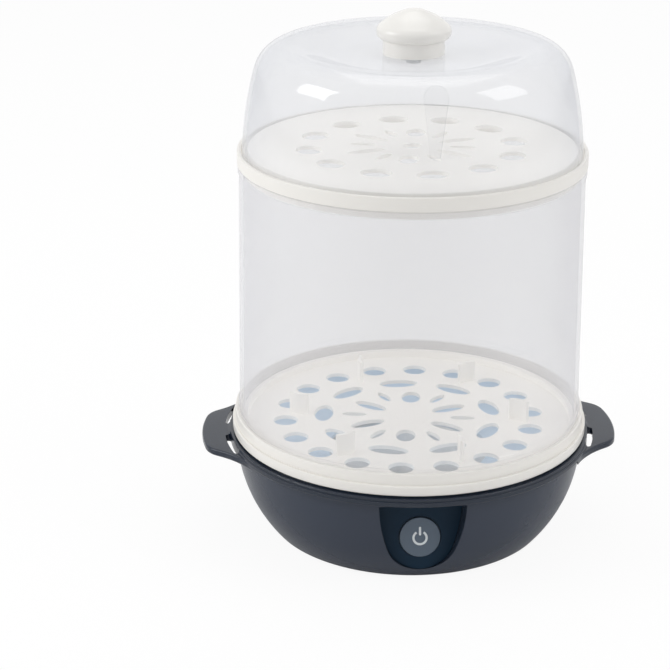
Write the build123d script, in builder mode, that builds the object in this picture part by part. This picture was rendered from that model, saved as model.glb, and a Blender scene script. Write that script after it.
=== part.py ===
from build123d import *
import os
from math import asin, cos, degrees, radians, sin, sqrt, tan

os.makedirs("parts", exist_ok=True)

# Two-storey steam sterilizer for baby bottles, in millimetres.
# Origin: middle of the footprint, on the table. +Z up, switch towards -Y, ear handles along X.

# Fits between neighbours
slide_gap = 0.4
seat_gap = 0.2
hidden_gap = 0.1

# Base bowl
foot_drop = 2.0
bowl_height = 59.7
bowl_top_radius = 110.4
bowl_side_radius = 91.0
bowl_wall = 2.6
bowl_foot_round = 3.5
cover_radius = 80.0
cover_thickness = 2.6
cover_lip_width = 3.0
cover_lip_thickness = 2.4

# Pocket for the switch, in the front of the bowl
panel_tilt = 10.0
panel_foot_y = 93.6
panel_foot_z = 9.6
shield_round = 21.5
shield_lean = 20.0
shield_top_x = 26.2
shield_top_height = 44.0
shield_run_out = 24.0
pocket_wall = 2.2
pocket_depth = 45.0
pocket_roof_slope = 26.0
pocket_rim = 1.5
fascia_thickness = 2.0

# Power button and what is behind it
button_radius = 12.5
button_height_on_panel = 20.5
button_proud = 1.2
button_edge = 0.6
button_thickness = 3.2
button_flange = 1.2
button_flange_thickness = 1.3
button_travel = 1.8
plunger_radius = 2.5
plunger_length = 3.4
symbol_radius = 4.7
symbol_stroke = 1.4
symbol_bar_length = 5.5
symbol_gap_angle = 64.0
symbol_drop = 0.4
symbol_depth = 0.5
dome_ring_radius = 9.0
dome_top_radius = 6.5
dome_rubber = 1.2
board_width = 34.0
board_height = 26.0
board_thickness = 1.6
board_post_radius = 2.8
board_post_x = 14.0
board_post_y = 9.5
board_drop = 11.0
switch_side = 6.0
lamp_side = 3.0
lamp_height = 1.2

# Collar ring
collar_overhang = 5.5
collar_band_height = 2.7
collar_lip_inset = 1.0
collar_lip_height = 1.6
collar_step = 0.4
collar_shelf = 3.5
seat_rise = 1.1
basin_rest_depth = 3.0
spigot_wall = 2.5
spigot_depth = 5.2

# Ear handles, measured outwards from the collar
ear_reach = 16.5
ear_shoulder_reach = 14.1
ear_shoulder_y = 22.0
ear_corner_reach = 7.0
ear_corner_y = 32.2
ear_root_angle = 29.5
ear_thickness = 4.4
ear_drop = 2.6
ear_edge = 1.2
ear_slot_bite = 0.5
ear_slot_width = 3.6
ear_slot_start = 5.3
ear_slot_sweep = 12.9

# Water basin and heating plate
basin_wall = 2.4
basin_steep_slope = 26.0
basin_steep_radius = 80.0
basin_floor_radius = 66.0
basin_floor_slope = 13.0
basin_mouth_radius = 51.5
basin_boss_radius = 5.0
base_screw_circle = 66.0
base_screw_angle = 35.0
base_screw_radius = 1.5
base_screw_reach = 20.0
plate_radius = 60.0
plate_thickness = 1.2
plate_dish_radius = 46.0
plate_dish_depth = 1.6
gasket_thickness = 1.2
gasket_width = 7.5
clamp_ring_thickness = 2.2
clamp_ring_inner = 54.0
clamp_ring_outer = 68.0
clamp_screw_count = 6
clamp_screw_circle = 64.0
clamp_screw_radius = 1.4
clamp_boss_radius = 3.2

# Heating element and sensors
spreader_radius = 43.0
spreader_thickness = 3.0
element_radius = 34.0
element_tube = 3.3
element_sink = 1.7
element_gap_angle = 40.0
element_leg = 6.5
element_pin_radius = 1.2
element_pin_length = 6.0
sensor_radius = 8.0
sensor_height = 8.0
sensor_offset = 11.0
sensor_post_x = 26.0
sensor_post_radius = 2.6
bracket_width = 9.0
bracket_thickness = 1.2
sensor_screw_radius = 1.2

# Bottom cover and feet
screw_cup_radius = 6.5
screw_cup_height = 3.0
screw_head_radius = 3.6
screw_head_height = 2.0
foot_circle = 66.0
foot_angle = 62.0
foot_radius = 7.5
foot_stem_radius = 2.6
vent_length = 26.0
vent_width = 3.0
vent_pitch = 8.0
vent_count = 5

# Mains entry
gland_height = 22.0
gland_pad_radius = 9.5
gland_face_y = 105.6
gland_body_radius = 5.4
gland_flange_radius = 8.0
gland_flange_thickness = 2.4
gland_bore_radius = 3.6
gland_inside = 10.0
clamp_y = 72.0
clamp_post_x = 10.0
clamp_post_radius = 4.0
clamp_post_height = 8.0
clamp_strip_width = 9.0
clamp_strip_thickness = 2.6
block_width = 36.0
block_depth = 12.0
block_height = 13.0
block_y = 50.0
lead_radius = 0.9
lead_bend = 5.4
board_lead_x = 7.0
board_lead_z = 10.5

# Bottle tray
tray_overhang = 1.2
tray_wall = 2.4
tray_lower_tier = 6.2
tray_upper_tier = 7.0
tray_tier_step = 1.8
tray_plate_rise = 0.7
tray_plate_thickness = 2.4
tray_edge_round = 0.8
tray_ledge_depth = 5.5
tray_ledge_margin = 0.5
tray_spigot_depth = 3.2
tray_turn = 2.1
outer_hole_circle = 79.0
outer_hole_radius = 7.8
outer_hole_count = 18
middle_hole_circle = 54.4
middle_hole_length = 25.4
middle_hole_width = 12.0
middle_hole_count = 9
long_petal_circle = 29.0
long_petal_length = 23.5
long_petal_width = 9.6
short_petal_circle = 31.0
short_petal_length = 18.0
short_petal_width = 12.4
thin_petal_circle = 34.8
thin_petal_length = 16.0
thin_petal_width = 5.6

# Bottle pegs, bowed fins on the tray
peg_circle = 71.0
peg_turn = -7.1
peg_lean = -23.0
peg_bow_radius = 13.0
peg_sweep = 52.0
peg_wall = 2.2
peg_height = 14.0
peg_edge = 0.7
peg_count = 6

# Steam cylinder
cylinder_draw_in = 2.2
cylinder_wall = 2.5
cylinder_height = 165.5
cylinder_foot_bead = 0.8
cylinder_foot_bead_height = 3.4
cylinder_foot_bead_rise = 1.6
cylinder_top_bead = 0.9
cylinder_top_bead_height = 3.6
cylinder_top_bead_drop = 0.7

# Upper tray
upper_overhang = 1.2
upper_wall = 2.4
upper_rim_height = 8.6
upper_lip_height = 3.4
upper_channel_thickness = 2.4
upper_channel_width = 4.2
upper_plate_height = 9.4
upper_plate_thickness = 2.4
upper_spigot_depth = 5.2
upper_turn = 5.9
upper_hole_circle = 63.6
upper_hole_length = 19.0
upper_hole_width = 16.0
upper_hole_count = 12
upper_petal_circle = 30.5
upper_petal_length = 25.0
upper_petal_width = 7.0

# Lift tab on the upper tray
tab_x = 11.3
tab_y = -28.6
tab_height = 44.0
tab_top_width = 15.0
tab_foot_width = 6.0
tab_thickness = 2.4

# Dome lid, drawn in from its foot
lid_gap = 0.6
dome_belly_inset = 2.4
dome_belly_height = 25.6
dome_shoulder_inset = 8.1
dome_shoulder_height = 52.9
dome_crown_inset = 28.5
dome_height = 67.7
dome_dish_radius = 47.0
dome_dish_depth = 6.3
dome_wall = 2.2

# Lid knob
knob_stem_radius = 18.6
knob_stem_height = 9.4
knob_radius = 22.5
knob_waist_height = 13.6
knob_height = 26.9
knob_wall = 2.6
knob_post_radius = 4.2
knob_screw_radius = 1.9
knob_screw_head_radius = 4.5
knob_screw_head_height = 2.0
knob_screw_length = 17.0
knob_washer_radius = 7.0
knob_washer_thickness = 1.2

# Radii worked out from the pieces that stand in or on each other
collar_radius = bowl_top_radius + collar_overhang
lip_radius = collar_radius - collar_lip_inset
seat_radius = lip_radius - collar_shelf
spigot_outer = bowl_top_radius - bowl_wall - seat_gap
spigot_inner = spigot_outer - spigot_wall
basin_outer_radius = spigot_inner - seat_gap
basin_inner_radius = basin_outer_radius - basin_wall
tray_radius = seat_radius + tray_overhang
tier_radius = tray_radius - tray_tier_step
cylinder_foot_radius = tier_radius - tray_wall - slide_gap
cylinder_top_radius = cylinder_foot_radius - cylinder_draw_in
upper_radius = cylinder_top_radius + upper_overhang
upper_inner_radius = upper_radius - upper_wall
upper_plate_radius = upper_inner_radius - upper_channel_width
dome_foot_radius = upper_inner_radius - lid_gap
dome_belly_radius = dome_foot_radius - dome_belly_inset
dome_shoulder_radius = dome_foot_radius - dome_shoulder_inset
dome_crown_radius = dome_foot_radius - dome_crown_inset

# Heights worked out from the pieces that stand on each other
bowl_top = foot_drop + bowl_height
bowl_centre = bowl_top_radius - bowl_side_radius
bowl_foot_radius = bowl_centre + sqrt(bowl_side_radius**2 - bowl_height**2)
cover_top = foot_drop + cover_thickness
bowl_floor = cover_top + cover_lip_thickness
lip_top = bowl_top + collar_band_height + collar_step + collar_lip_height
seat_top = lip_top + seat_rise
basin_rest = seat_top - basin_rest_depth
tier_height = seat_top + tray_lower_tier
tray_rim_top = tier_height + tray_upper_tier
tray_ledge = tray_rim_top - tray_ledge_depth
tray_plate_top = seat_top + tray_plate_rise + tray_plate_thickness
cylinder_top = tray_ledge + cylinder_height
upper_plate_top = cylinder_top + upper_plate_height
dome_foot = cylinder_top + upper_rim_height - upper_lip_height
dish_top = dome_foot + dome_height - dome_dish_depth


# Directions of the switch panel
panel_out = Vector(0, -cos(radians(panel_tilt)), sin(radians(panel_tilt)))
panel_up = Vector(0, sin(radians(panel_tilt)), cos(radians(panel_tilt)))
panel_origin = Vector(0, -panel_foot_y, panel_foot_z)


def panel_plane(height=0.0, out=0.0):
    """Plane on the switch panel, moved up along it and out of it."""
    origin = panel_origin + panel_up * height + panel_out * out
    return Plane(origin=origin, x_dir=(1, 0, 0), z_dir=panel_out)


def half_section(points):
    """Closed section in the XZ plane through (radius, height) points."""
    with BuildSketch(Plane.XZ) as section:
        with BuildLine():
            Polyline(*points, close=True)
        make_face()
    return section.sketch


def ring_section(inner, outer, low, high):
    """Rectangular section of a ring."""
    return half_section([(inner, low), (outer, low), (outer, high), (inner, high)])


def bowl_section(shift, low, inner):
    """Section of the bowl's body, its side drawn in by shift, from low up to the bowl's top."""
    radius = bowl_side_radius - shift
    sweep = degrees(asin((bowl_top - low) / radius))
    with BuildSketch(Plane.XZ) as section:
        with BuildLine():
            side = CenterArc((bowl_centre, bowl_top), radius, -sweep, sweep)
            Polyline(side @ 1, (inner, bowl_top), (inner, low), side @ 0)
        make_face()
    return section.sketch


def shield(plane, grow):
    """Outline of the switch panel, grown all round: a round foot and sides that bow up past the roof."""
    lean = radians(shield_lean)
    side_x = shield_round * cos(lean)
    side_y = shield_round - shield_round * sin(lean)
    with BuildSketch(plane) as outline:
        with BuildLine():
            foot = ThreePointArc((-side_x, side_y), (0, 0), (side_x, side_y))
            side = TangentArc((foot @ 1, (shield_top_x, shield_top_height)), tangent=foot % 1)
            run_out = Line(side @ 1, side @ 1 + (side % 1) * shield_run_out)
            mirror(Curve() + [side, run_out], about=Plane.YZ)
            Line(run_out @ 1, (-(run_out @ 1).X, (run_out @ 1).Y))
        make_face()
        if grow:
            offset(amount=grow, kind=Kind.INTERSECTION)
    return outline.sketch


def under_roof(lift):
    """Side view of the space below the pocket's sloping roof, the roof raised by lift."""
    slope = tan(radians(pocket_roof_slope))
    outer_y = -bowl_top_radius
    outer_z = bowl_top - pocket_rim + lift
    reach = bowl_top_radius / 2
    with BuildSketch(Plane.YZ) as side:
        with BuildLine():
            Polyline(
                (outer_y - reach, outer_z + reach * slope),
                (outer_y + reach, outer_z - reach * slope),
                (outer_y + reach, -foot_drop),
                (outer_y - reach, -foot_drop),
                close=True,
            )
        make_face()
    return side.sketch


def screws(places, shank, length, head, head_height, seat, pointing=1):
    """Group of screws on vertical axes: flat heads with a cross recess, shanks up from seat."""
    with BuildPart() as group:
        with Locations(*[(x, y, seat) for x, y in places]):
            Cylinder(shank, length, align=(Align.CENTER, Align.CENTER, Align.MIN))
            Cylinder(head, head_height, align=(Align.CENTER, Align.CENTER, Align.MAX))
        with Locations(*[(x, y, seat - head_height) for x, y in places]):
            cross = (head * 1.1, head * 0.28, head_height * 0.8)
            Box(*cross, mode=Mode.SUBTRACT)
            Box(cross[1], cross[0], cross[2], mode=Mode.SUBTRACT)
    return group


def around(count, circle, first):
    """Places on a circle, as (x, y) points."""
    step = 360 / count
    angles = [radians(first + step * number) for number in range(count)]
    return [(circle * cos(angle), circle * sin(angle)) for angle in angles]


def petal_sizes(number):
    """Circle, length and width of the flower's petals, in the order in which they go round."""
    long_petal = (long_petal_circle, long_petal_length, long_petal_width)
    short_petal = (short_petal_circle, short_petal_length, short_petal_width)
    thin_petal = (thin_petal_circle, thin_petal_length, thin_petal_width)
    return [long_petal, thin_petal, short_petal, thin_petal, long_petal, thin_petal][number % 6]


# Base bowl with its pocket
pocket_back = -(fascia_thickness + pocket_wall)
with BuildPart() as pocket_body:
    extrude(shield(panel_plane(out=pocket_back), pocket_wall), amount=pocket_depth)
    extrude(under_roof(pocket_wall), amount=bowl_top_radius, both=True, mode=Mode.INTERSECT)
    revolve(bowl_section(0, foot_drop, 0), axis=Axis.Z, mode=Mode.INTERSECT)

with BuildPart() as pocket_space:
    extrude(shield(panel_plane(out=-fascia_thickness), 0), amount=pocket_depth)
    extrude(under_roof(0), amount=bowl_top_radius, both=True, mode=Mode.INTERSECT)

gland_pad = Plane(origin=(0, gland_face_y, gland_height), x_dir=(-1, 0, 0), z_dir=(0, 1, 0))
with BuildPart() as base_bowl:
    revolve(bowl_section(0, foot_drop, 0), axis=Axis.Z)
    foot_edge = base_bowl.edges().filter_by(GeomType.CIRCLE).group_by(Axis.Z)[0]
    fillet(foot_edge, bowl_foot_round)
    with BuildSketch(gland_pad):
        Circle(gland_pad_radius)
    extrude(amount=-bowl_side_radius / 4)
    revolve(bowl_section(bowl_wall, bowl_floor, 0), axis=Axis.Z, mode=Mode.SUBTRACT)
    add(pocket_body.part)
    add(pocket_space.part, mode=Mode.SUBTRACT)
    with BuildSketch(Plane.XY):
        Circle(cover_radius - cover_lip_width)
    extrude(amount=bowl_floor, mode=Mode.SUBTRACT)
    with BuildSketch(Plane.XY):
        Circle(cover_radius)
    extrude(amount=cover_top, mode=Mode.SUBTRACT)
    with BuildSketch(gland_pad):
        Circle(gland_body_radius + hidden_gap)
    extrude(amount=-bowl_side_radius / 3, mode=Mode.SUBTRACT)
    button_hole = button_radius + button_flange + slide_gap
    with BuildSketch(panel_plane(button_height_on_panel, pocket_back)):
        Circle(button_hole)
    extrude(amount=-pocket_back, both=True, mode=Mode.SUBTRACT)
    board_face = -(fascia_thickness + board_drop)
    with BuildSketch(panel_plane(button_height_on_panel, board_face)):
        with GridLocations(2 * board_post_x, 2 * board_post_y, 2, 2):
            Circle(board_post_radius)
    extrude(amount=pocket_back - board_face)
    with BuildSketch(panel_plane(button_height_on_panel, board_face)):
        with GridLocations(2 * board_post_x, 2 * board_post_y, 2, 2):
            Circle(sensor_screw_radius)
    extrude(amount=board_drop - pocket_wall, mode=Mode.SUBTRACT)
base_bowl.part.label = "base_bowl"
export_step(base_bowl.part, "parts/base_bowl.step")

# Control fascia, the plate in the pocket
with BuildPart() as control_fascia:
    extrude(shield(panel_plane(out=-fascia_thickness), -seat_gap), amount=fascia_thickness)
    extrude(under_roof(-seat_gap), amount=bowl_top_radius, both=True, mode=Mode.INTERSECT)
    revolve(bowl_section(bowl_wall / 4, foot_drop, 0), axis=Axis.Z, mode=Mode.INTERSECT)
    with BuildSketch(panel_plane(button_height_on_panel)):
        Circle(button_radius + slide_gap)
    extrude(amount=-fascia_thickness, mode=Mode.SUBTRACT)
control_fascia.part.label = "control_fascia"
export_step(control_fascia.part, "parts/control_fascia.step")

# Power button with its flange behind the fascia
flange_front = -(fascia_thickness + hidden_gap)
with BuildPart() as power_button:
    with BuildSketch(panel_plane(button_height_on_panel, flange_front)):
        Circle(button_radius)
    extrude(amount=button_proud - flange_front)
    front_edge = power_button.edges().filter_by(GeomType.CIRCLE).sort_by(Axis(panel_origin, panel_out))[-1:]
    fillet(front_edge, button_edge)
    with BuildSketch(panel_plane(button_height_on_panel, flange_front)):
        Circle(button_radius + button_flange)
    extrude(amount=-button_flange_thickness)
    with BuildSketch(panel_plane(button_height_on_panel, flange_front - button_flange_thickness)):
        Circle(plunger_radius)
    extrude(amount=-plunger_length)
    symbol_height = button_height_on_panel - symbol_drop
    with BuildSketch(panel_plane(symbol_height, button_proud - symbol_depth)) as symbol_outline:
        Circle(symbol_radius)
        Circle(symbol_radius - symbol_stroke, mode=Mode.SUBTRACT)
        gap_half = radians(symbol_gap_angle / 2)
        gap_reach = symbol_radius * 2
        Polygon(
            (0, 0),
            (gap_reach * sin(gap_half), gap_reach * cos(gap_half)),
            (-gap_reach * sin(gap_half), gap_reach * cos(gap_half)),
            align=None,
            mode=Mode.SUBTRACT,
        )
        with Locations((0, symbol_radius - symbol_stroke / 3)):
            SlotOverall(symbol_bar_length, symbol_stroke, rotation=90)
    extrude(amount=symbol_depth, mode=Mode.SUBTRACT)
power_button.part.label = "power_button"
export_step(power_button.part, "parts/power_button.step")

with BuildPart() as power_symbol:
    extrude(symbol_outline.sketch, amount=symbol_depth)
power_symbol.part.label = "power_symbol"
export_step(power_symbol.part, "parts/power_symbol.step")

# Control board behind the button, with its push switch, lamp and rubber return dome
with BuildPart() as control_board:
    with BuildSketch(panel_plane(button_height_on_panel, board_face)):
        RectangleRounded(board_width, board_height, board_post_radius)
        with GridLocations(2 * board_post_x, 2 * board_post_y, 2, 2):
            Circle(sensor_screw_radius + hidden_gap, mode=Mode.SUBTRACT)
    extrude(amount=-board_thickness)
control_board.part.label = "control_board"
export_step(control_board.part, "parts/control_board.step")

plunger_end = flange_front - button_flange_thickness - plunger_length
switch_top = plunger_end - button_travel - hidden_gap
switch_body_top = switch_top - switch_side / 6
with BuildPart() as push_switch:
    with BuildSketch(panel_plane(button_height_on_panel, board_face)):
        Rectangle(switch_side, switch_side)
    extrude(amount=switch_body_top - board_face)
    with BuildSketch(panel_plane(button_height_on_panel, switch_body_top)):
        Circle(switch_side / 3.5)
    extrude(amount=switch_top - switch_body_top)
push_switch.part.label = "push_switch"
export_step(push_switch.part, "parts/push_switch.step")

with BuildPart() as indicator_lamp:
    with BuildSketch(panel_plane(button_height_on_panel + board_height / 2 - lamp_side / 2, board_face)):
        Rectangle(lamp_side, lamp_side / 1.5)
    extrude(amount=lamp_height)
indicator_lamp.part.label = "indicator_lamp"
export_step(indicator_lamp.part, "parts/indicator_lamp.step")

return_height = flange_front - button_flange_thickness - board_face
dome_plane = Plane(origin=panel_plane(button_height_on_panel, board_face).origin, x_dir=(1, 0, 0), z_dir=-panel_up)
with BuildPart() as return_dome:
    with BuildSketch(dome_plane):
        with BuildLine():
            Polyline(
                (dome_ring_radius - 2 * dome_rubber, 0),
                (dome_ring_radius, 0),
                (dome_ring_radius, dome_rubber),
                (dome_top_radius, return_height - dome_rubber),
                (dome_top_radius, return_height),
                (dome_top_radius - dome_rubber, return_height),
                (dome_top_radius - dome_rubber, return_height - dome_rubber),
                (dome_ring_radius - 2 * dome_rubber, dome_rubber),
                close=True,
            )
        make_face()
    revolve(axis=Axis(panel_plane(button_height_on_panel, board_face).origin, panel_out))
return_dome.part.label = "return_dome"
export_step(return_dome.part, "parts/return_dome.step")

board_back = board_face - board_thickness
with BuildPart() as board_screws:
    with BuildSketch(panel_plane(button_height_on_panel, board_back)):
        with GridLocations(2 * board_post_x, 2 * board_post_y, 2, 2):
            Circle(sensor_screw_radius * 2)
    extrude(amount=-sensor_screw_radius)
    with BuildSketch(panel_plane(button_height_on_panel, board_back)):
        with GridLocations(2 * board_post_x, 2 * board_post_y, 2, 2):
            Circle(sensor_screw_radius - hidden_gap)
    extrude(amount=board_drop / 2)
board_screws.part.label = "board_screws"
export_step(board_screws.part, "parts/board_screws.step")

# Collar ring with the two ear handles
ear_top = bowl_top + ear_thickness - ear_drop + collar_step
ear_root = Vector(collar_radius, 0, 0).rotate(Axis.Z, ear_root_angle)
with BuildPart() as ears:
    with BuildSketch(Plane.XY.offset(ear_top - ear_thickness)):
        with BuildLine():
            shoulder_x = collar_radius + ear_shoulder_reach
            outer = ThreePointArc(
                (shoulder_x, -ear_shoulder_y),
                (collar_radius + ear_reach, 0),
                (shoulder_x, ear_shoulder_y),
            )
            corner_end = (collar_radius + ear_corner_reach, ear_corner_y)
            corner = TangentArc((outer @ 1, corner_end), tangent=outer % 1)
            root = TangentArc((corner @ 1, (ear_root.X, ear_root.Y)), tangent=corner % 1)
            inner = Line(root @ 1, (ear_root.X, 0))
            mirror(Curve() + [corner, root, inner], about=Plane.XZ)
        make_face()
        mirror(about=Plane.YZ)
    extrude(amount=ear_thickness)
    with BuildSketch(Plane.XY):
        Circle(bowl_top_radius + seat_gap)
    extrude(amount=seat_top, mode=Mode.SUBTRACT)
    outline = ears.edges().filter_by(lambda edge: edge.length > 2 * ear_thickness)
    fillet(
        outline.filter_by(lambda edge: edge.center().X ** 2 + edge.center().Y ** 2 > (collar_radius + ear_edge) ** 2),
        ear_edge,
    )

ear_slot_radius = lip_radius - ear_slot_bite + ear_slot_width / 2
with BuildPart() as collar_ring:
    revolve(
        half_section([
            (spigot_outer, bowl_top),
            (collar_radius, bowl_top),
            (collar_radius, bowl_top + collar_band_height),
            (lip_radius, bowl_top + collar_band_height + collar_step),
            (lip_radius, lip_top),
            (seat_radius, lip_top),
            (seat_radius, seat_top),
            (spigot_outer, seat_top),
            (spigot_outer, basin_rest),
            (spigot_inner, basin_rest),
            (spigot_inner, bowl_top - spigot_depth),
            (spigot_outer, bowl_top - spigot_depth),
        ]),
        axis=Axis.Z,
    )
    lip_edges = collar_ring.edges().filter_by(GeomType.CIRCLE)
    lip_edges = lip_edges.filter_by(lambda edge: abs(edge.radius - lip_radius) < 0.01)
    fillet(lip_edges.sort_by(Axis.Z)[-1:], collar_step * 1.5)
    band_edges = collar_ring.edges().filter_by(GeomType.CIRCLE)
    band_edges = band_edges.filter_by(lambda edge: abs(edge.radius - collar_radius) < 0.01)
    fillet(band_edges.sort_by(Axis.Z)[:1], collar_step * 2)
    add(ears.part)
    with BuildSketch(Plane.XY):
        for side in (0, 180):
            for first in (ear_slot_start, -ear_slot_start - ear_slot_sweep):
                SlotArc(CenterArc((0, 0), ear_slot_radius, side + first, ear_slot_sweep), ear_slot_width)
    extrude(amount=lip_top, mode=Mode.SUBTRACT)
    with BuildSketch(Plane.XY.offset(bowl_top - spigot_depth)):
        with Locations((0, -bowl_top_radius)):
            Rectangle(2 * shield_top_x + shield_run_out, bowl_top_radius / 2)
    extrude(amount=spigot_depth, mode=Mode.SUBTRACT)
collar_ring.part.label = "collar_ring"
export_step(collar_ring.part, "parts/collar_ring.step")

# Water basin that hangs in the collar
steep = tan(radians(basin_steep_slope))
gentle = tan(radians(basin_floor_slope))
basin_corner = basin_rest - basin_wall
basin_steep_low = basin_corner - (basin_outer_radius - basin_steep_radius) * steep
basin_floor_low = basin_steep_low - (basin_steep_radius - basin_floor_radius) * gentle
gasket_top = basin_floor_low
plate_top = gasket_top - gasket_thickness
plate_low = plate_top - plate_thickness
base_screw_angles = (base_screw_angle, 180 - base_screw_angle, 180 + base_screw_angle, -base_screw_angle)
screw_places = [
    (base_screw_circle * cos(radians(angle)), base_screw_circle * sin(radians(angle)))
    for angle in base_screw_angles
]
clamp_places = around(clamp_screw_count, clamp_screw_circle, 90 / clamp_screw_count)
cup_top = cover_top + screw_cup_height
with BuildPart() as water_basin:
    with BuildSketch(Plane.XY.offset(cup_top)):
        with Locations(*screw_places):
            Circle(basin_boss_radius)
    extrude(amount=basin_floor_low + basin_wall - cup_top)
    with BuildSketch(Plane.XY.offset(plate_low)):
        with Locations(*clamp_places):
            Circle(clamp_boss_radius)
    extrude(amount=basin_floor_low + basin_wall / 2 - plate_low)
    revolve(
        half_section([
            (spigot_outer - seat_gap, basin_rest),
            (spigot_outer - seat_gap, basin_rest + basin_wall - collar_step),
            (basin_inner_radius, basin_rest + basin_wall - collar_step),
            (basin_inner_radius, basin_corner + basin_wall),
            (basin_steep_radius, basin_steep_low + basin_wall),
            (basin_floor_radius, basin_floor_low + basin_wall),
            (basin_mouth_radius, basin_floor_low + basin_wall),
            (basin_mouth_radius, basin_floor_low),
            (basin_floor_radius, basin_floor_low),
            (basin_steep_radius, basin_steep_low),
            (basin_outer_radius, basin_corner),
            (basin_outer_radius, basin_rest),
        ]),
        axis=Axis.Z,
    )
    with BuildSketch(Plane.XY.offset(cup_top)):
        with Locations(*screw_places):
            Circle(base_screw_radius + hidden_gap)
    extrude(amount=base_screw_reach, mode=Mode.SUBTRACT)
    with BuildSketch(Plane.XY.offset(plate_low)):
        with Locations(*clamp_places):
            Circle(clamp_screw_radius + hidden_gap)
    extrude(amount=basin_floor_low - plate_low + basin_wall / 3, mode=Mode.SUBTRACT)
water_basin.part.label = "water_basin"
export_step(water_basin.part, "parts/water_basin.step")

# Silicone gasket, steel heating plate and the ring that clamps them under the basin's lip
with BuildPart() as plate_gasket:
    revolve(
        ring_section(basin_mouth_radius + hidden_gap, basin_mouth_radius + gasket_width, plate_top, gasket_top),
        axis=Axis.Z,
    )
plate_gasket.part.label = "plate_gasket"
export_step(plate_gasket.part, "parts/plate_gasket.step")

dish_low = plate_low - plate_dish_depth
with BuildPart() as heating_plate:
    revolve(
        half_section([
            (0, dish_low),
            (plate_dish_radius, dish_low),
            (plate_dish_radius + plate_dish_depth, plate_low),
            (plate_radius, plate_low),
            (plate_radius, plate_top),
            (plate_dish_radius + plate_dish_depth - plate_thickness / 2, plate_top),
            (plate_dish_radius - plate_thickness / 2, dish_low + plate_thickness),
            (0, dish_low + plate_thickness),
        ]),
        axis=Axis.Z,
    )
heating_plate.part.label = "heating_plate"
export_step(heating_plate.part, "parts/heating_plate.step")

with BuildPart() as clamp_ring:
    revolve(
        ring_section(clamp_ring_inner, clamp_ring_outer, plate_low - clamp_ring_thickness, plate_low),
        axis=Axis.Z,
    )
    with BuildSketch(Plane.XY.offset(plate_low)):
        with Locations(*clamp_places):
            Circle(clamp_screw_radius + seat_gap)
        with Locations(*screw_places):
            Circle(basin_boss_radius + seat_gap)
    extrude(amount=-clamp_ring_thickness, mode=Mode.SUBTRACT)
clamp_ring.part.label = "clamp_ring"
export_step(clamp_ring.part, "parts/clamp_ring.step")

clamp_seat = plate_low - clamp_ring_thickness
clamp_screws = screws(
    clamp_places,
    clamp_screw_radius,
    clamp_ring_thickness + basin_floor_low - plate_low,
    clamp_screw_radius * 2,
    clamp_screw_radius * 1.2,
    clamp_seat,
)
clamp_screws.part.label = "clamp_screws"
export_step(clamp_screws.part, "parts/clamp_screws.step")

# Heat spreader and sheathed heating element under the plate
spreader_low = dish_low - spreader_thickness
element_height = spreader_low - element_tube + element_sink
element_first = 90 + element_gap_angle / 2
element_sweep = 360 - element_gap_angle
element_ends = [
    (element_radius * cos(radians(angle)), element_radius * sin(radians(angle)))
    for angle in (element_first, element_first + element_sweep)
]
with BuildPart() as heating_element:
    with BuildSketch(Plane.XZ.rotated((0, 0, element_first))):
        with Locations((element_radius, element_height)):
            Circle(element_tube)
    revolve(axis=Axis.Z, revolution_arc=element_sweep)
    with Locations(*[(x, y, element_height) for x, y in element_ends]):
        Sphere(element_tube)
        Cylinder(element_tube, element_leg, align=(Align.CENTER, Align.CENTER, Align.MAX))
    with Locations(*[(x, y, element_height - element_leg) for x, y in element_ends]):
        Cylinder(element_pin_radius, element_pin_length, align=(Align.CENTER, Align.CENTER, Align.MAX))
heating_element.part.label = "heating_element"
export_step(heating_element.part, "parts/heating_element.step")

sensor_post_places = [(-sensor_post_x, 0), (sensor_post_x, 0)]
with BuildPart() as heat_spreader:
    revolve(ring_section(0, spreader_radius, spreader_low, dish_low), axis=Axis.Z)
    with Locations(*[(x, y, spreader_low) for x, y in sensor_post_places]):
        Cylinder(sensor_post_radius, sensor_height, align=(Align.CENTER, Align.CENTER, Align.MAX))
    with BuildSketch(Plane.XZ):
        with Locations((element_radius, element_height)):
            Circle(element_tube + hidden_gap)
    revolve(axis=Axis.Z, mode=Mode.SUBTRACT)
    with Locations(*[(x, y, spreader_low - sensor_height) for x, y in sensor_post_places]):
        Cylinder(
            sensor_screw_radius + hidden_gap,
            sensor_height,
            align=(Align.CENTER, Align.CENTER, Align.MIN),
            mode=Mode.SUBTRACT,
        )
heat_spreader.part.label = "heat_spreader"
export_step(heat_spreader.part, "parts/heat_spreader.step")


def sensor(x):
    """Round heat sensor with its two blades, pressed on the spreader."""
    with BuildPart() as can:
        with Locations((x, 0, spreader_low)):
            Cylinder(sensor_radius, sensor_height, align=(Align.CENTER, Align.CENTER, Align.MAX))
        with Locations((x, sensor_radius, spreader_low - sensor_height / 2)):
            Box(sensor_radius / 2, sensor_radius, plate_thickness)
        with Locations((x, -sensor_radius, spreader_low - sensor_height / 2)):
            Box(sensor_radius / 2, sensor_radius, plate_thickness)
    return can


thermostat = sensor(-sensor_offset)
thermostat.part.label = "thermostat"
export_step(thermostat.part, "parts/thermostat.step")

thermal_cutout = sensor(sensor_offset)
thermal_cutout.part.label = "thermal_cutout"
export_step(thermal_cutout.part, "parts/thermal_cutout.step")

sensor_low = spreader_low - sensor_height
with BuildPart() as sensor_bracket:
    with BuildSketch(Plane.XY.offset(sensor_low - bracket_thickness)):
        SlotCenterToCenter(2 * sensor_post_x, bracket_width)
        with Locations(*sensor_post_places):
            Circle(sensor_screw_radius + seat_gap, mode=Mode.SUBTRACT)
    extrude(amount=bracket_thickness)
sensor_bracket.part.label = "sensor_bracket"
export_step(sensor_bracket.part, "parts/sensor_bracket.step")

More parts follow.
